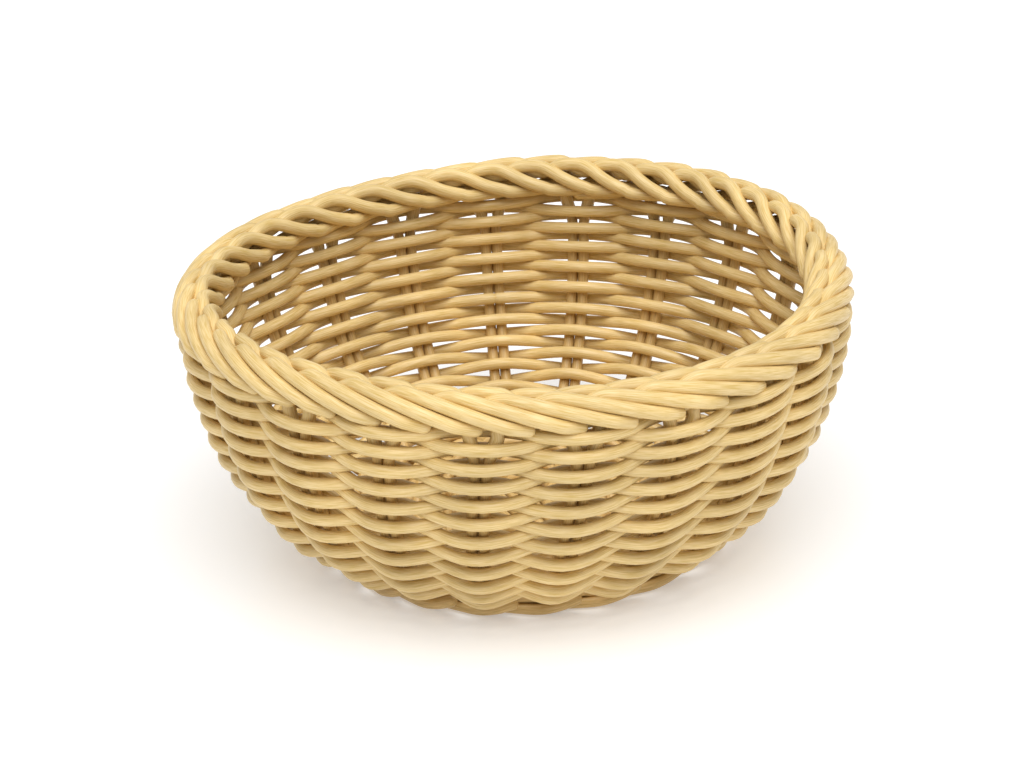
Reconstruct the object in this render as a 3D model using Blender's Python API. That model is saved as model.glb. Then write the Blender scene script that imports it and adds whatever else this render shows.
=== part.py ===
"""Round woven bread basket, metres, +Z up, standing on z = 0 with its axis on the Z axis.

The basket is plain weave. Twenty-one stakes, each bent like a hairpin, give twenty-one pairs of
uprights. The bend of each stake lies under the rim of the base and is one strand of the foot. Both
its ends rise through the wall, fold over, and are two strands of the border. Long weavers run round
the uprights, and a base of crossed sticks with its own weaver closes the bottom.
"""

import math

import bmesh
import bpy
from mathutils import Vector

# Driving dimensions
PAIRS = 21                  # pairs of uprights round the basket
FIRST_PAIR = math.radians(76.6)
PAIR_STEP = math.tau / PAIRS
STRAND = 0.0032             # thickness of every strand, square to the weave
WEAVER_HEIGHT = 0.00275     # height of a side weaver, along the wall
CLEARANCE = 0.0003          # gap between strands that touch
AMPLITUDE = STRAND + CLEARANCE

# Wall: middle surface of the uprights, as radius and height, from the base to the border
WALL = (
    (0.0578, 0.0048),
    (0.0610, 0.0082),
    (0.0722, 0.0173),
    (0.0784, 0.0248),
    (0.0839, 0.0333),
    (0.0882, 0.0427),
    (0.0915, 0.0532),
    (0.0941, 0.0639),
    (0.0948, 0.0722),
)
UPRIGHT_TOP = (0.0942, 0.0748)
PAIR_HALF_GAP = 0.00195     # half the distance between the two uprights of a pair
PAIR_SPREAD = 0.0022        # how much further each upright moves out under the border

# Side weavers
SIDE_WEAVERS = 4
SIDE_ROWS = 22
LOWEST_ROW = 0.0064         # distance along the wall of the lowest row
HIGHEST_ROW = 0.0792
PITCH_CHANGE = 0.22         # rows at the bottom are this share further apart than the average

# Base
BASE_LEVEL = 0.0066
BASE_LAYER = 0.00195        # the two crossed layers lie this far above and below BASE_LEVEL
STICK_PITCH = 0.0038
CROSSING_HALF = 0.0128
SPOKE_INNER = 0.0240
SPOKE_OUTER = 0.0540
LONG_STICKS = 5
CROSS_STICKS = 6
CUT_END = 0.0115
BASE_ROWS = 6
BASE_WEAVE_INNER = 0.0275
BASE_WEAVE_OUTER = 0.0500

# Foot: each strand starts inside, runs under the base, and rises outside the next one
FOOT_LEVEL = STRAND / 2
FOOT_ROUTE = (              # share of the way from pair to pair, radius and height
    (0.00, 0.0550, 0.0042),
    (0.16, 0.0548, FOOT_LEVEL),
    (0.42, 0.0562, FOOT_LEVEL),
    (0.68, 0.0572, FOOT_LEVEL),
    (0.90, 0.0582, 0.0026),
)

# Border: an arch of strands over the tops of the uprights
ARCH_RADIUS = 0.0932
ARCH_LEVEL = 0.0769
ARCH_HALF_WIDTH = 0.0058
ARCH_HEIGHT = 0.0067
ARCH_SPAN = 2.3 * PAIR_STEP
ARCH_START = math.radians(5.5)
FOLD_DROP = 0.0016          # how far the fold of an upright lies below the arch
FOLD_SHARE = 0.45           # share of the way from the upright to its strand where it folds
ARCH_STEPS = 7
ARCH_FIT = 0.74             # border strands are this much slimmer along the arch

STRAW = (0.80, 0.62, 0.33, 1.0)
STRAW_DARK = (0.70, 0.50, 0.24, 1.0)


def clear_scene():
    for obj in list(bpy.data.objects):
        bpy.data.objects.remove(obj)


def make_material(name, colour):
    material = bpy.data.materials.new(name)
    material.use_nodes = True
    shader = material.node_tree.nodes["Principled BSDF"]
    shader.inputs["Base Color"].default_value = colour
    shader.inputs["Roughness"].default_value = 0.5
    shader.inputs["Metallic"].default_value = 0.0
    return material


def polar(radius, angle, height):
    return Vector((radius * math.cos(angle), radius * math.sin(angle), height))


def wall_lengths():
    """Distance along the wall of each of its points."""
    lengths = [0.0]
    for low, high in zip(WALL, WALL[1:]):
        lengths.append(lengths[-1] + math.dist(low, high))
    return lengths


LENGTHS = wall_lengths()


def wall_point(along):
    """Radius and height of the wall's middle surface, and its outward normal in that plane."""
    index = 0
    while index < len(WALL) - 2 and along > LENGTHS[index + 1]:
        index += 1
    share = (along - LENGTHS[index]) / (LENGTHS[index + 1] - LENGTHS[index])
    point = Vector(WALL[index]).lerp(Vector(WALL[index + 1]), share)
    before = wall_direction(index)
    after = wall_direction(index + 1)
    direction = before.lerp(after, share).normalized()
    return point, Vector((direction.y, -direction.x))


def wall_direction(index):
    """Direction of the wall at one of its points, halfway between the stretches that meet there."""
    first = max(index - 1, 0)
    last = min(index + 1, len(WALL) - 1)
    return (Vector(WALL[last]) - Vector(WALL[first])).normalized()


def half_gap(along):
    """Half the distance between the uprights of a pair, which part on the wall's last stretch."""
    share = (along - LENGTHS[-2]) / (LENGTHS[-1] - LENGTHS[-2])
    return PAIR_HALF_GAP + PAIR_SPREAD * min(max(share, 0.0), 1.0)


def pair_angle(pair):
    return FIRST_PAIR + pair * PAIR_STEP


def strand(name, sections, material):
    """A closed four-sided strand. A section is its centre and its two half axes."""
    mesh = bpy.data.meshes.new(name)
    builder = bmesh.new()
    rings = []
    for centre, across, up in sections:
        corners = (across + up, up - across, -across - up, across - up)
        rings.append([builder.verts.new(centre + corner) for corner in corners])
    for ring, following in zip(rings, rings[1:]):
        for side in range(4):
            beside = (side + 1) % 4
            builder.faces.new((ring[side], ring[beside], following[beside], following[side]))
    builder.faces.new(rings[0])
    builder.faces.new(rings[-1])
    bmesh.ops.recalc_face_normals(builder, faces=builder.faces)
    bmesh.ops.triangulate(builder, faces=builder.faces)
    builder.to_mesh(mesh)
    builder.free()
    mesh.materials.append(material)
    obj = bpy.data.objects.new(name, mesh)
    bpy.context.scene.collection.objects.link(obj)
    return obj


def tangential(angle):
    return Vector((-math.sin(angle), math.cos(angle), 0.0))


def radial(angle):
    return Vector((math.cos(angle), math.sin(angle), 0.0))


def border_sections(angle, side):
    """The end of an upright: it folds inwards, then crosses the arch from inside to outside."""
    half = STRAND / 2
    top = angle + side * (PAIR_HALF_GAP + PAIR_SPREAD) / UPRIGHT_TOP[0]
    start = angle + side * PAIR_STEP / 4 + ARCH_START
    sections = []
    inner = ARCH_RADIUS - ARCH_HALF_WIDTH
    radius, height = UPRIGHT_TOP
    sections.append((polar(radius, top, height), radial(top) * half, tangential(top) * -half))
    turn = top + FOLD_SHARE * (start - top)
    fold = polar((radius + inner) / 2, turn, ARCH_LEVEL - FOLD_DROP)
    slant = (tangential(turn) + radial(turn)).normalized()
    sections.append((fold, slant * half, Vector((0, 0, half))))
    for step in range(ARCH_STEPS + 1):
        share = step / ARCH_STEPS
        bend = math.pi * share
        around = start + ARCH_SPAN * share
        radius = ARCH_RADIUS - ARCH_HALF_WIDTH * math.cos(bend)
        height = ARCH_LEVEL + ARCH_HEIGHT * math.sin(bend)
        inward = radial(around) * math.cos(bend) - Vector((0, 0, math.sin(bend)))
        over = radial(around) * math.sin(bend) + Vector((0, 0, math.cos(bend)))
        sections.append((polar(radius, around, height), inward * half, over * half * ARCH_FIT))
    return sections


def upright_sections(angle, side):
    """One upright, from the lowest point of the wall to the top of it."""
    half = STRAND / 2
    sections = []
    for along in LENGTHS[1:]:
        point, normal = wall_point(along)
        around = angle + side * half_gap(along) / point.x
        out = radial(around) * normal.x + Vector((0, 0, normal.y))
        sections.append((polar(point.x, around, point.y), out * half, tangential(around) * -half))
    return sections


def foot_sections(angle):
    """The bend of a stake under the base, from one pair of uprights to the next."""
    half = STRAND / 2
    first = angle + PAIR_HALF_GAP / WALL[0][0]
    last = angle + PAIR_STEP - PAIR_HALF_GAP / WALL[0][0]
    sections = []
    for share, radius, height in FOOT_ROUTE:
        around = first + (last - first) * share
        up = Vector((0, 0, half))
        sections.append((polar(radius, around, height), radial(around) * half, up))
    return sections


def turn_frame(sections):
    """The same sections in reverse, with one axis turned so that the strand isn't twisted."""
    return [(centre, across, -up) for centre, across, up in reversed(sections)]


def make_stake(pair, material):
    angle = pair_angle(pair)
    rising = upright_sections(angle, 1) + border_sections(angle, 1)
    falling = upright_sections(angle + PAIR_STEP, -1) + border_sections(angle + PAIR_STEP, -1)
    sections = turn_frame(rising) + foot_sections(angle) + falling
    return strand(f"stake_{pair + 1:02d}", sections, material)


def weave_stops(angle, half_width):
    """The two places beside a pair between which a weaver lies flat against it."""
    return angle - half_width, angle + half_width


def row_position(rows):
    """Distance along the wall after a number of rows, which are wider apart lower down."""
    share = rows / SIDE_ROWS
    eased = share + PITCH_CHANGE * share * (1 - share)
    return LOWEST_ROW + (HIGHEST_ROW - LOWEST_ROW) * eased


def make_side_weaver(index, material):
    """A weaver that passes outside one pair and inside the next, rising a row each round."""
    rows = SIDE_ROWS / SIDE_WEAVERS
    first = math.ceil(index * rows * PAIRS)
    last = math.ceil((index + 1) * rows * PAIRS)
    sections = []
    for pair in range(first, last):
        side = 1 if pair % 2 else -1
        along = row_position(pair / PAIRS)
        point, normal = wall_point(along)
        half_width = (half_gap(along) + STRAND / 2 + CLEARANCE) / point.x
        for angle in weave_stops(pair_angle(pair), half_width):
            out = radial(angle) * normal.x + Vector((0, 0, normal.y))
            centre = polar(point.x, angle, point.y) + out * (side * AMPLITUDE)
            along_wall = Vector((0, 0, normal.x)) - radial(angle) * normal.y
            sections.append((centre, out * (STRAND / 2), along_wall * (WEAVER_HEIGHT / 2)))
    return strand(f"side_weaver_{index + 1}", sections, material)


def make_base_weaver(material):
    """A weaver that spirals out from the crossing, over one spoke and under the next."""
    sections = []
    half = STRAND / 2
    for spoke in range(BASE_ROWS * PAIRS):
        side = 1 if spoke % 2 else -1
        share = spoke / (BASE_ROWS * PAIRS)
        radius = BASE_WEAVE_INNER + (BASE_WEAVE_OUTER - BASE_WEAVE_INNER) * share
        half_width = (half + CLEARANCE) / radius
        for angle in weave_stops(pair_angle(spoke), half_width):
            centre = polar(radius, angle, BASE_LEVEL + side * AMPLITUDE)
            sections.append((centre, radial(angle) * half, Vector((0, 0, half))))
    return strand("base_weaver", sections, material)


def spoke_end(spoke, inner, outer):
    """The two outer sections of a base stick, along the spoke that it opens into."""
    half = STRAND / 2
    angle = pair_angle(spoke)
    return [
        (polar(radius, angle, BASE_LEVEL), tangential(angle) * half, Vector((0, 0, half)))
        for radius in (outer, inner)
    ]


def make_stick(name, direction, offset, level, spokes, material):
    """A base stick: straight through the crossing, then opened out to a spoke at each end."""
    half = STRAND / 2
    ahead = radial(direction)
    aside = tangential(direction)
    up = Vector((0, 0, half))
    middle = aside * offset + Vector((0, 0, BASE_LEVEL + level))
    sections = spoke_end(spokes[0], SPOKE_INNER, SPOKE_OUTER)
    sections = [(centre, across, up) for centre, across, up in sections]
    sections.append((middle + ahead * CROSSING_HALF, aside * half, up))
    if spokes[1] is None:
        sections.append((middle - ahead * CUT_END, aside * half, up))
    else:
        sections.append((middle - ahead * CROSSING_HALF, aside * half, up))
        far = spoke_end(spokes[1], SPOKE_INNER, SPOKE_OUTER)
        sections += [(centre, -across, up) for centre, across, up in reversed(far)]
    return strand(name, sections, material)


def make_base_sticks(material):
    """Five sticks lie over six, and their ends open into the twenty-one spokes of the base."""
    direction = pair_angle((LONG_STICKS - 1) / 2)
    last_far = LONG_STICKS + CROSS_STICKS + LONG_STICKS - 1
    for stick in range(LONG_STICKS):
        offset = (stick - (LONG_STICKS - 1) / 2) * STICK_PITCH
        spokes = (stick, last_far - stick)
        make_stick(f"base_stick_{stick + 1:02d}", direction, offset, BASE_LAYER, spokes, material)
    across = direction + math.pi / 2
    for stick in range(CROSS_STICKS):
        offset = (stick - (CROSS_STICKS - 1) / 2) * STICK_PITCH
        near = LONG_STICKS + stick
        far = PAIRS - stick
        spokes = (near, far if far < PAIRS else None)
        name = f"base_stick_{LONG_STICKS + stick + 1:02d}"
        make_stick(name, across, offset, -BASE_LAYER, spokes, material)


def main():
    clear_scene()
    wall_material = make_material("straw", STRAW)
    base_material = make_material("straw_dark", STRAW_DARK)
    for pair in range(PAIRS):
        make_stake(pair, wall_material)
    for index in range(SIDE_WEAVERS):
        make_side_weaver(index, wall_material)
    make_base_weaver(base_material)
    make_base_sticks(base_material)


main()
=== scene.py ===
"""Round woven bread basket, built over its CAD frame: metres, +Z up, standing on z = 0.

Every strand is a round plastic rod that runs along a smooth curve. Twenty-one stakes make the foot,
the pairs of uprights and the rolled border. Four weavers wind up the wall in plain weave. Crossed
rods, opened out to spokes, and one more weaver make the base.
"""

import math
import random

import bpy
from mathutils import Matrix, Vector


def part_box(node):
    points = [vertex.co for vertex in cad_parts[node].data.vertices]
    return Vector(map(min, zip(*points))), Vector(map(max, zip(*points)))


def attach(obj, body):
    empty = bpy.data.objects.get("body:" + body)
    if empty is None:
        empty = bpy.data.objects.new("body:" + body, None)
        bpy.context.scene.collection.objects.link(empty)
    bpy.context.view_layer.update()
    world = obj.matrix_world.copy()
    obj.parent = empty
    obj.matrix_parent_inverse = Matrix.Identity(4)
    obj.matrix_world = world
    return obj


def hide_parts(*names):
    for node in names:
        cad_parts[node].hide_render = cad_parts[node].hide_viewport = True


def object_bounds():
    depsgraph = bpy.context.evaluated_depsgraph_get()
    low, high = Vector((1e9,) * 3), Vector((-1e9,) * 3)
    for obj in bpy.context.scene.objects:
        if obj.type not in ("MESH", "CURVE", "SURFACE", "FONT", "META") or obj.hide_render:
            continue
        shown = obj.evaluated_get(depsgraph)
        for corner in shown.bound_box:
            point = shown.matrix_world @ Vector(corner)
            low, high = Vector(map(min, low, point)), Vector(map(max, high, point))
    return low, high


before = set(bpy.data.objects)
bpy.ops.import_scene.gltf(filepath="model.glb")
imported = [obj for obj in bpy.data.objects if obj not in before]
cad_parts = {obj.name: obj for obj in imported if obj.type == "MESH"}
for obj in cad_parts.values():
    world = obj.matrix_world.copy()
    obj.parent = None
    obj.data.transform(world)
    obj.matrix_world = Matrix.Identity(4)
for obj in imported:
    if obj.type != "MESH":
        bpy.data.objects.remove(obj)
cad_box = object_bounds()
RADIUS = (cad_box[1][0] - cad_box[0][0]) / 2    # of the whole basket, at the border
HEIGHT = cad_box[1][2]
BASE_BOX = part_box("base_weaver")

SEED = 21

# Strands
PAIRS = 21                  # pairs of uprights round the wall
FIRST_PAIR = math.radians(76.6)
PAIR_STEP = math.tau / PAIRS
STAKE_RADIUS = 0.0168 * RADIUS
WEAVER_RADIUS = 0.0181 * RADIUS
BORDER_RADIUS = 0.0200 * RADIUS
BASE_RADIUS = 0.0150 * RADIUS
SIDES = 12                  # flats round a strand, shaded smooth
GRAIN_MAP = "grain"         # UV map in metres: round the strand, and along it
CAP_RINGS = (               # of a rounded end: how far out and how wide, as shares of the radius
    (0.35, 0.93),
    (0.70, 0.71),
    (0.90, 0.42),
    (0.98, 0.18),
)

# Wall: middle surface of the uprights, as shares of the basket's radius and height
WALL = (
    (0.575, 0.056),
    (0.607, 0.096),
    (0.718, 0.203),
    (0.780, 0.291),
    (0.835, 0.390),
    (0.878, 0.501),
    (0.910, 0.624),
    (0.936, 0.749),
    (0.943, 0.846),
)
WALL_STEPS = 8              # fine stretches between two points of the wall
PAIR_HALF_GAP = 0.0172 * RADIUS     # half the distance between the two uprights of a pair
PAIR_SPREAD = 0.022 * RADIUS        # how much further each moves aside under the border
SPREAD_LENGTH = 0.083 * RADIUS      # which it does over this length
LEAN = 0.0045 * RADIUS      # how far a pair may lean to one side
UPRIGHT_STEP = 0.05 * RADIUS
UPRIGHT_TOP = (0.937, 0.877)        # shares of the radius and height where the border begins
RIM_LIFT = 0.006 * RADIUS   # the border is this much higher than the frame's
RIM_WAVE = 0.021 * RADIUS   # and it goes up and down by this much
FRONT_SHIFT = -0.36 * PAIR_STEP     # sideways, at the foot in front

# Side weavers
SIDE_WEAVERS = 4
SIDE_ROWS = 22
LOWEST_ROW = 0.052 * RADIUS
HIGHEST_ROW = 0.806 * RADIUS
PITCH_CHANGE = 0.22         # rows at the bottom are this share further apart than the average
WEAVE_DEPTH = 0.0345 * RADIUS
FLATNESS = 0.22             # of a weaver's bends at the top of the wall and in the base
LOW_FLATNESS = -0.25        # at the bottom of the wall, where the bends are pointed
WEAVE_STEPS = 10            # points of a weaver from one pair to the next
BUTT_GAP = 0.035            # share of a step from a pair to the ends that meet there
ROW_WOBBLE = 0.0028 * RADIUS
DEPTH_WOBBLE = 0.0020 * RADIUS
WOBBLE_PACES = (0.31, 0.73, 1.37)   # of the slow waves that a wobble is made of, in radians a pair

# Base
BASE_LEVEL = (BASE_BOX[0][2] + BASE_BOX[1][2]) / 2
STICK_PITCH = 0.0375 * RADIUS
STICK_LIFT = 0.0165 * RADIUS        # the two crossed layers lie this far above and below the base
CROSSING_HALF = 0.112 * RADIUS
SPOKE_INNER = 0.195 * RADIUS
SPOKE_OUTER = 0.590 * RADIUS
LONG_STICKS = 5
CROSS_STICKS = 6
BASE_ROWS = 12
BASE_WEAVE_INNER = 0.180 * RADIUS
BASE_WEAVE_OUTER = 0.575 * RADIUS
BASE_DEPTH = 0.0310 * RADIUS

# Foot strand: share of the way from pair to pair, radius and height
FOOT_ROUTE = (
    (-0.50, 0.543, 0.050),
    (-0.25, 0.545, 0.030),
    (0.08, 0.550, 0.0205),
    (0.48, 0.565, 0.0205),
    (0.86, 0.582, 0.0215),
    (1.16, 0.596, 0.036),
    (1.42, 0.606, 0.058),
)

# Bend of a hairpin, between the two uprights it joins, in the same terms
BEND_ROUTE = (
    (0.02, 0.578, 0.066),
    (0.30, 0.563, 0.060),
    (0.70, 0.565, 0.062),
    (0.98, 0.585, 0.070),
)

# Border: strands that cross an arch over the tops of the uprights, from inside to outside
ARCH_RADIUS = 0.928 * RADIUS
ARCH_LEVEL = 0.903 * HEIGHT
ARCH_HALF_WIDTH = 0.0545 * RADIUS
ARCH_HEIGHT = 0.0620 * RADIUS
ARCH_FROM = math.radians(-8)        # how far round the arch a strand starts and ends
ARCH_TO = math.radians(186)
ARCH_START = math.radians(17)       # how far round the basket from its pair a strand starts
ARCH_SPAN = 2.5 * PAIR_STEP         # and how far on from there it ends
ARCH_STEPS = 30
ARCH_WOBBLE = 0.0025 * RADIUS
DIVE_FROM = 0.35            # shares of the way between which a strand dives under the next one
DIVE_LOWEST = 0.46
DIVE_TO = 0.58
DIVE_DEPTH = 0.030 * RADIUS
HUMP_SHARE = 0.27           # share of the way where it leans over the dive of its neighbour
HUMP_LENGTH = 0.10
HUMP_SHIFT = math.radians(23)
HUMP_RISE = 0.004 * RADIUS
CORE_ROUTE = (              # share of the way to the arch, radius, and depth under the arch
    (0.30, 0.930, 0.013),
    (0.70, 0.912, 0.018),
)
TUCK_TURN = 0.18 * PAIR_STEP        # the end runs on, down and in by these
TUCK_DROP = 0.022 * RADIUS
TUCK_IN = 0.022 * RADIUS

# Fine stretches between two points of a route
STAKE_STEPS = 4
BORDER_STEPS = 2
STICK_STEPS = 5

# Materials
STRAW_LIGHT = (0.82, 0.62, 0.30, 1.0)
STRAW_DARK = (0.62, 0.42, 0.120, 1.0)
# Streak colours of a darker copy of the straw, which is painted shade for the parts in shade: the
# uprights behind the weavers, the foot and the base underneath
SHADE_STRAW_LIGHT = (0.70, 0.485, 0.20, 1.0)
SHADE_STRAW_DARK = (0.50, 0.315, 0.09, 1.0)
ROUGHNESS = 0.42
SPECULAR = 0.45
STREAKS = (3200.0, 150.0, 1.0)      # waves a metre round the strand and along it
STREAK_DETAIL = 3.0
STREAK_EDGES = (0.30, 0.62)         # noise values of the dark and the light colour
STREAK_BUMP = 0.35
STREAK_DEPTH = 0.0002
PATCHES = 45.0                      # patches of tone a metre
PATCH_DETAIL = 1.0
PATCH_EDGES = (0.3, 0.7)
PATCH_TONES = (0.90, 1.06)
WHITE = (1.0, 1.0, 1.0, 1.0)

# Studio
FLOOR_HALF = 6.0
FLOOR_COLOUR = (0.75, 0.75, 0.75, 1.0)
FLOOR_GLOW = 0.30
FLOOR_ROUGHNESS = 0.28
FLOOR_SPECULAR = 0.35
WORLD_STRENGTH = 0.50
SUN_STRENGTH = 2.7
SUN_FROM = (0.05, -0.40, 1.0)
SUN_SOFTNESS = math.radians(60)

# Camera
CAMERA_DISTANCE = 1.15
CAMERA_AIM = 0.95                   # share of the height
CAMERA_ELEVATION = math.radians(21.517)
CAMERA_ROLL = math.radians(-2.38)
CAMERA_PITCH = math.radians(-1.51)
CAMERA_LENS = 137.0
SENSOR_WIDTH = 36.0


def smooth(points, steps):
    """A curve through all the points, with a number of stretches between each two."""
    ends = [points[0] * 2 - points[1], *points, points[-1] * 2 - points[-2]]
    curve = []
    for a, b, c, d in zip(ends, ends[1:], ends[2:], ends[3:]):
        for step in range(steps):
            t = step / steps
            curve.append(
                (b * 2 + (c - a) * t + (a * 2 - b * 5 + c * 4 - d) * t ** 2
                 + (b * 3 - a - c * 3 + d) * t ** 3) / 2
            )
    return curve + [points[-1]]


def rod(name, path, radius, material):
    """A round strand along a path, with rounded ends, whose grain starts at a random place."""
    steps = [(b - a).normalized() for a, b in zip(path, path[1:])]
    tangents = [steps[0], *steps]
    rings = [(centre, tangent, 1.0) for centre, tangent in zip(path, tangents)]
    for out, thin in CAP_RINGS:
        rings.insert(0, (path[0] - steps[0] * radius * out, steps[0], thin))
        rings.append((path[-1] + steps[-1] * radius * out, steps[-1], thin))
    side = rings[0][1].orthogonal().normalized()
    length = random.uniform(0.0, 1.0)
    verts, coordinates = [], []
    for index, (centre, tangent, thin) in enumerate(rings):
        if index:
            side = rings[index - 1][1].rotation_difference(tangent) @ side
            length += (centre - rings[index - 1][0]).length
        side = (side - tangent * side.dot(tangent)).normalized()
        other = tangent.cross(side)
        for flat in range(SIDES):
            turn = math.tau * flat / SIDES
            verts.append(centre + (side * math.cos(turn) + other * math.sin(turn)) * radius * thin)
            coordinates.append((radius * min(turn, math.tau - turn), length))
    faces = []
    for ring in range(len(rings) - 1):
        for flat in range(SIDES):
            low, beside = ring * SIDES + flat, ring * SIDES + (flat + 1) % SIDES
            faces.append((low, beside, beside + SIDES, low + SIDES))
    faces.append(tuple(reversed(range(SIDES))))
    faces.append(tuple(range(len(verts) - SIDES, len(verts))))
    mesh = bpy.data.meshes.new(name)
    mesh.from_pydata(verts, [], faces)
    mesh.polygons.foreach_set("use_smooth", [True] * len(faces))
    grain = mesh.uv_layers.new(name=GRAIN_MAP)
    for loop in mesh.loops:
        grain.data[loop.index].uv = coordinates[loop.vertex_index]
    mesh.materials.append(material)
    obj = bpy.data.objects.new(name, mesh)
    bpy.context.scene.collection.objects.link(obj)
    return obj


def joined(name, parts):
    """One object made of several, which are removed."""
    with bpy.context.temp_override(active_object=parts[0], selected_editable_objects=parts):
        bpy.ops.object.join()
    parts[0].name = name
    return parts[0]


def stand_in(piece, node):
    """The piece is seen in place of a node of the frame."""
    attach(piece, "root")
    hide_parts(node)


def radial(angle):
    return Vector((math.cos(angle), math.sin(angle), 0.0))


def tangential(angle):
    return Vector((-math.sin(angle), math.cos(angle), 0.0))


def polar(radius, angle, height):
    """A place on the basket, as uneven as the hand work is.

    The border waves up and down twice round. Low down in front, the pairs are shifted sideways.
    """
    wave = (RIM_LIFT + RIM_WAVE * math.sin(2 * angle)) * (height / HEIGHT) ** 2
    shift = FRONT_SHIFT * (1 - height / HEIGHT) * max(0.0, -math.sin(angle))
    return radial(angle + shift) * radius + Vector((0.0, 0.0, height + wave))


def pair_angle(pair):
    return FIRST_PAIR + pair * PAIR_STEP


class Wall:
    """The middle surface of the wall, met at a distance along it from the base."""

    def __init__(self):
        points = [Vector((r * RADIUS, 0.0, z * HEIGHT)) for r, z in WALL]
        self.curve = smooth(points, WALL_STEPS)
        self.lengths = [0.0]
        for low, high in zip(self.curve, self.curve[1:]):
            self.lengths.append(self.lengths[-1] + (high - low).length)
        self.start = self.lengths[WALL_STEPS]       # at the second point, where the uprights begin

    def at(self, along):
        """Radius, height and outward normal, as radial and upward shares."""
        index = 0
        while index < len(self.curve) - 2 and along > self.lengths[index + 1]:
            index += 1
        share = (along - self.lengths[index]) / (self.lengths[index + 1] - self.lengths[index])
        point = self.curve[index].lerp(self.curve[index + 1], share)
        direction = (self.curve[index + 1] - self.curve[index]).normalized()
        return point.x, point.z, (direction.z, -direction.x)


wall = Wall()
random.seed(SEED)
leans = [random.uniform(-LEAN, LEAN) for _ in range(PAIRS)]


def upright_points(pair, side):
    """One upright, from the bottom of the wall to the top of it."""
    points = []
    top = wall.lengths[-1]
    count = round((top - wall.start) / UPRIGHT_STEP)
    for step in range(count + 1):
        along = wall.start + (top - wall.start) * step / count
        radius, height, _ = wall.at(along)
        spread = max(0.0, 1 - (top - along) / SPREAD_LENGTH)
        lean = leans[pair % PAIRS] * math.sin(math.pi * step / count)
        aside = side * (PAIR_HALF_GAP + PAIR_SPREAD * spread) + lean
        points.append(polar(radius, pair_angle(pair) + aside / radius, height))
    return points


def dive(share):
    """How deep a border strand lies, from 0 to 1: it sinks slowly, then comes up in a knuckle."""
    edge = DIVE_FROM if share < DIVE_LOWEST else DIVE_TO
    depth = min(max((share - edge) / (DIVE_LOWEST - edge), 0.0), 1.0)
    return depth * depth * (3 - 2 * depth)


def border_points(pair, side):
    """The end of an upright: it folds over, crosses the arch and tucks in under it."""
    top_radius, top_height = UPRIGHT_TOP[0] * RADIUS, UPRIGHT_TOP[1] * HEIGHT
    top = pair_angle(pair) + side * (PAIR_HALF_GAP + PAIR_SPREAD) / top_radius
    start = pair_angle(pair) + side * PAIR_STEP / 4 + ARCH_START
    points = [polar(top_radius, top, top_height)]
    for share, radius, depth in CORE_ROUTE:
        around = top + share * (start - top)
        points.append(polar(radius * RADIUS, around, ARCH_LEVEL - depth * RADIUS))
    lift = random.uniform(-ARCH_WOBBLE, ARCH_WOBBLE)
    for step in range(ARCH_STEPS + 1):
        share = step / ARCH_STEPS
        hump = math.exp(-(((share - HUMP_SHARE) / HUMP_LENGTH) ** 2))
        bend = ARCH_FROM + (ARCH_TO - ARCH_FROM) * share + HUMP_SHIFT * hump
        out = lift + HUMP_RISE * hump - DIVE_DEPTH * dive(share)
        radius = ARCH_RADIUS - (ARCH_HALF_WIDTH + out) * math.cos(bend)
        height = ARCH_LEVEL + (ARCH_HEIGHT + out) * math.sin(bend)
        points.append(polar(radius, start + ARCH_SPAN * share, height))
    end = start + ARCH_SPAN + TUCK_TURN
    outer = ARCH_RADIUS + ARCH_HALF_WIDTH - TUCK_IN
    points.append(polar(outer, end, ARCH_LEVEL - TUCK_DROP))
    return points


def low_points(pair, route):
    """A stretch of a stake under the base, which runs on from one pair towards the next."""
    points = []
    for share, radius, height in route:
        angle = pair_angle(pair) + PAIR_STEP * share
        points.append(polar(radius * RADIUS, angle, height * HEIGHT))
    return points


def make_stake(pair, material, painted_shade_material):
    """A stake: a hairpin with its two uprights, a foot strand, and two strands of the border."""
    rising = upright_points(pair, 1)
    falling = upright_points(pair + 1, -1)
    body = list(reversed(rising)) + low_points(pair, BEND_ROUTE) + falling
    # The hairpin and the foot strand take the darker straw, which is painted shade
    parts = [rod("hairpin", smooth(body, STAKE_STEPS), STAKE_RADIUS, painted_shade_material)]
    foot = smooth(low_points(pair, FOOT_ROUTE), STAKE_STEPS)
    parts.append(rod("foot", foot, STAKE_RADIUS, painted_shade_material))
    for points, owner, side in ((rising, pair, 1), (falling, pair + 1, -1)):
        path = smooth(points[-2:] + border_points(owner, side), BORDER_STEPS)
        parts.append(rod("border", path, BORDER_RADIUS, material))
    piece = joined(f"stake_rod_{pair + 1:02d}", parts)
    stand_in(piece, f"stake_{pair + 1:02d}")


def weave(turn, flatness):
    """How far a weaver lies to one side, after a number of pairs: out at odd ones, in at even."""
    wave = -math.cos(math.pi * turn)
    return wave * (1 + flatness - flatness * wave * wave)


def row_position(rows):
    """Distance along the wall after a number of rows, which are wider apart lower down."""
    share = rows / SIDE_ROWS
    eased = share + PITCH_CHANGE * share * (1 - share)
    return LOWEST_ROW + (HIGHEST_ROW - LOWEST_ROW) * eased


def wobble(turn, phases):
    """A slow irregular wave between -1 and 1 along a weaver."""
    waves = [math.sin(turn * pace + phase) for pace, phase in zip(WOBBLE_PACES, phases)]
    return sum(waves) / len(waves)


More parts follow.
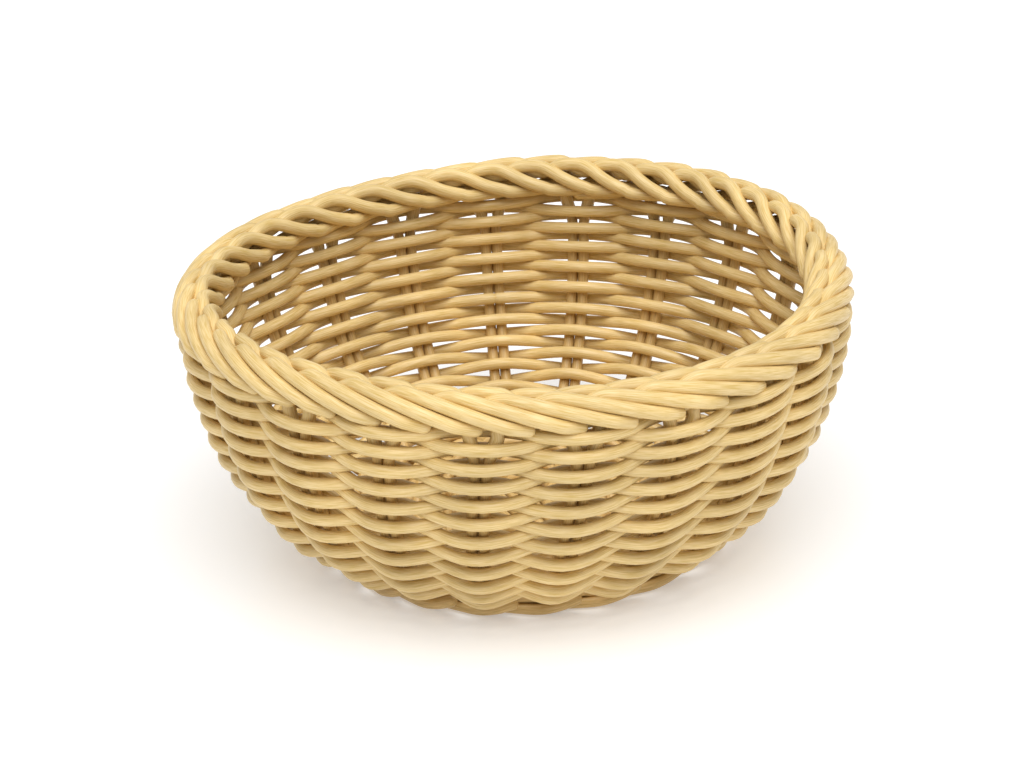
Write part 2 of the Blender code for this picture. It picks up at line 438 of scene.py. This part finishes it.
def make_side_weaver(index, material):
    rows = SIDE_ROWS / SIDE_WEAVERS
    first = 2 * round(index * rows * PAIRS / 2) + BUTT_GAP
    last = 2 * round((index + 1) * rows * PAIRS / 2) - BUTT_GAP
    up_phases = [random.uniform(0, math.tau) for _ in WOBBLE_PACES]
    out_phases = [random.uniform(0, math.tau) for _ in WOBBLE_PACES]
    path = []
    count = round((last - first) * WEAVE_STEPS)
    for step in range(count + 1):
        turn = first + (last - first) * step / count
        along = row_position(turn / PAIRS) + ROW_WOBBLE * wobble(turn, up_phases)
        radius, height, (out, up) = wall.at(along)
        lean = leans[round(turn) % PAIRS] * math.cos(math.pi * (turn - round(turn))) / radius
        angle = pair_angle(turn) + lean
        flatness = LOW_FLATNESS + (FLATNESS - LOW_FLATNESS) * turn / (PAIRS * SIDE_ROWS)
        depth = WEAVE_DEPTH * weave(turn, flatness) + DEPTH_WOBBLE * wobble(turn, out_phases)
        path.append(polar(radius + out * depth, angle, height + up * depth))
    piece = rod(f"side_strand_{index + 1}", path, WEAVER_RADIUS, material)
    stand_in(piece, f"side_weaver_{index + 1}")


def make_base_weaver(material):
    """A weaver that spirals out from the crossing, over one spoke and under the next."""
    path = []
    count = BASE_ROWS * PAIRS * WEAVE_STEPS
    for step in range(count + 1):
        turn = step / WEAVE_STEPS
        radius = BASE_WEAVE_INNER + (BASE_WEAVE_OUTER - BASE_WEAVE_INNER) * step / count
        height = BASE_LEVEL + BASE_DEPTH * weave(turn, FLATNESS)
        path.append(polar(radius, pair_angle(turn), height))
    piece = rod("base_strand", path, BASE_RADIUS, material)
    stand_in(piece, "base_weaver")


def spoke_points(spoke):
    return [
        polar(radius, pair_angle(spoke), BASE_LEVEL)
        for radius in (SPOKE_OUTER, (SPOKE_OUTER + SPOKE_INNER) / 2, SPOKE_INNER)
    ]


def make_stick(number, direction, offset, level, spokes, material):
    """A base rod: straight through the crossing, then opened out to a spoke at each end."""
    ahead = radial(direction)
    middle = tangential(direction) * offset + Vector((0.0, 0.0, BASE_LEVEL + level))
    points = spoke_points(spokes[0])
    points += [middle + ahead * CROSSING_HALF, middle, middle - ahead * CROSSING_HALF]
    if spokes[1] is not None:
        points += reversed(spoke_points(spokes[1]))
    piece = rod(f"base_rod_{number:02d}", smooth(points, STICK_STEPS), BASE_RADIUS, material)
    stand_in(piece, f"base_stick_{number:02d}")


def make_base(material):
    """Five rods over six, whose ends open into twenty-one spokes, and the weaver round them."""
    make_base_weaver(material)
    direction = pair_angle((LONG_STICKS - 1) / 2)
    last_far = LONG_STICKS + CROSS_STICKS + LONG_STICKS - 1
    for stick in range(LONG_STICKS):
        offset = (stick - (LONG_STICKS - 1) / 2) * STICK_PITCH
        make_stick(stick + 1, direction, offset, STICK_LIFT, (stick, last_far - stick), material)
    across = direction + math.pi / 2
    for stick in range(CROSS_STICKS):
        offset = (stick - (CROSS_STICKS - 1) / 2) * STICK_PITCH
        far = PAIRS - stick
        spokes = (LONG_STICKS + stick, far if far < PAIRS else None)
        make_stick(LONG_STICKS + stick + 1, across, offset, -STICK_LIFT, spokes, material)


def straw_material(name, light, dark):
    """Semi-matte straw-coloured plastic: fine streaks along the strand, and patches of tone."""
    material = bpy.data.materials.new(name)
    material.use_nodes = True
    nodes, links = material.node_tree.nodes, material.node_tree.links
    shader = nodes["Principled BSDF"]
    shader.inputs["Roughness"].default_value = ROUGHNESS
    shader.inputs["Specular IOR Level"].default_value = SPECULAR
    shader.inputs["Metallic"].default_value = 0.0

    uv = nodes.new("ShaderNodeUVMap")
    uv.uv_map = GRAIN_MAP
    stretch = nodes.new("ShaderNodeMapping")
    stretch.inputs["Scale"].default_value = STREAKS
    streaks = nodes.new("ShaderNodeTexNoise")
    streaks.inputs["Scale"].default_value = 1.0
    streaks.inputs["Detail"].default_value = STREAK_DETAIL
    colours = nodes.new("ShaderNodeValToRGB")
    for stop, edge, colour in zip(colours.color_ramp.elements, STREAK_EDGES, (dark, light)):
        stop.position = edge
        stop.color = colour
    bump = nodes.new("ShaderNodeBump")
    bump.inputs["Strength"].default_value = STREAK_BUMP
    bump.inputs["Distance"].default_value = STREAK_DEPTH
    links.new(uv.outputs["UV"], stretch.inputs["Vector"])
    links.new(stretch.outputs["Vector"], streaks.inputs["Vector"])
    links.new(streaks.outputs["Fac"], colours.inputs["Fac"])
    links.new(streaks.outputs["Fac"], bump.inputs["Height"])
    links.new(bump.outputs["Normal"], shader.inputs["Normal"])

    place = nodes.new("ShaderNodeTexCoord")
    patches = nodes.new("ShaderNodeTexNoise")
    patches.inputs["Scale"].default_value = PATCHES
    patches.inputs["Detail"].default_value = PATCH_DETAIL
    tone = nodes.new("ShaderNodeMapRange")
    tone.inputs["From Min"].default_value, tone.inputs["From Max"].default_value = PATCH_EDGES
    tone.inputs["To Min"].default_value, tone.inputs["To Max"].default_value = PATCH_TONES
    shade = nodes.new("ShaderNodeHueSaturation")
    links.new(place.outputs["Object"], patches.inputs["Vector"])
    links.new(patches.outputs["Fac"], tone.inputs["Value"])
    links.new(tone.outputs["Result"], shade.inputs["Value"])
    links.new(colours.outputs["Color"], shade.inputs["Color"])
    links.new(shade.outputs["Color"], shader.inputs["Base Color"])
    return material


def make_floor():
    """A pale floor that glows a little, so that it melts into the white surroundings."""
    material = bpy.data.materials.new("floor")
    material.use_nodes = True
    shader = material.node_tree.nodes["Principled BSDF"]
    shader.inputs["Base Color"].default_value = FLOOR_COLOUR
    shader.inputs["Emission Color"].default_value = WHITE
    shader.inputs["Emission Strength"].default_value = FLOOR_GLOW
    shader.inputs["Roughness"].default_value = FLOOR_ROUGHNESS
    shader.inputs["Specular IOR Level"].default_value = FLOOR_SPECULAR
    mesh = bpy.data.meshes.new("studio_floor")
    half = FLOOR_HALF
    corners = [(-half, -half, 0.0), (half, -half, 0.0), (half, half, 0.0), (-half, half, 0.0)]
    mesh.from_pydata(corners, [], [(0, 1, 2, 3)])
    mesh.materials.append(material)
    floor = bpy.data.objects.new("studio_floor", mesh)
    bpy.context.scene.collection.objects.link(floor)


def make_lights():
    """A broad soft light from above, and white surroundings."""
    world = bpy.data.worlds.new("studio")
    world.use_nodes = True
    background = world.node_tree.nodes["Background"]
    background.inputs["Color"].default_value = WHITE
    background.inputs["Strength"].default_value = WORLD_STRENGTH
    bpy.context.scene.world = world
    light = bpy.data.lights.new("soft_sun", "SUN")
    light.energy = SUN_STRENGTH
    light.angle = SUN_SOFTNESS
    sun = bpy.data.objects.new("soft_sun", light)
    sun.rotation_euler = Vector(SUN_FROM).to_track_quat("Z", "Y").to_euler()
    bpy.context.scene.collection.objects.link(sun)
    bpy.context.scene.view_settings.view_transform = "Standard"


def make_camera():
    """A long lens in front and above, rolled a little, aimed a little below the border."""
    back = Vector((0.0, -math.cos(CAMERA_ELEVATION), math.sin(CAMERA_ELEVATION)))
    location = Vector((0.0, 0.0, CAMERA_AIM * HEIGHT)) + back * CAMERA_DISTANCE
    right = Vector((1.0, 0.0, 0.0))
    turn = Matrix((right, back.cross(right), back)).transposed()
    turn = turn @ Matrix.Rotation(CAMERA_ROLL, 3, "Z") @ Matrix.Rotation(CAMERA_PITCH, 3, "X")
    camera = bpy.data.objects.new("camera", bpy.data.cameras.new("camera"))
    camera.data.lens = CAMERA_LENS
    camera.data.sensor_width = SENSOR_WIDTH
    camera.matrix_world = Matrix.Translation(location) @ turn.to_4x4()
    bpy.context.scene.collection.objects.link(camera)
    bpy.context.scene.camera = camera


straw = straw_material("straw", STRAW_LIGHT, STRAW_DARK)
# A darker copy of the straw: painted shade for the uprights, the foot and the base
painted_shade_straw = straw_material("straw_painted_shade", SHADE_STRAW_LIGHT, SHADE_STRAW_DARK)
for number in range(PAIRS):
    make_stake(number, straw, painted_shade_straw)
for number in range(SIDE_WEAVERS):
    make_side_weaver(number, straw)
# The base takes the darker straw too, which is painted shade
make_base(painted_shade_straw)
make_floor()
make_lights()
make_camera()
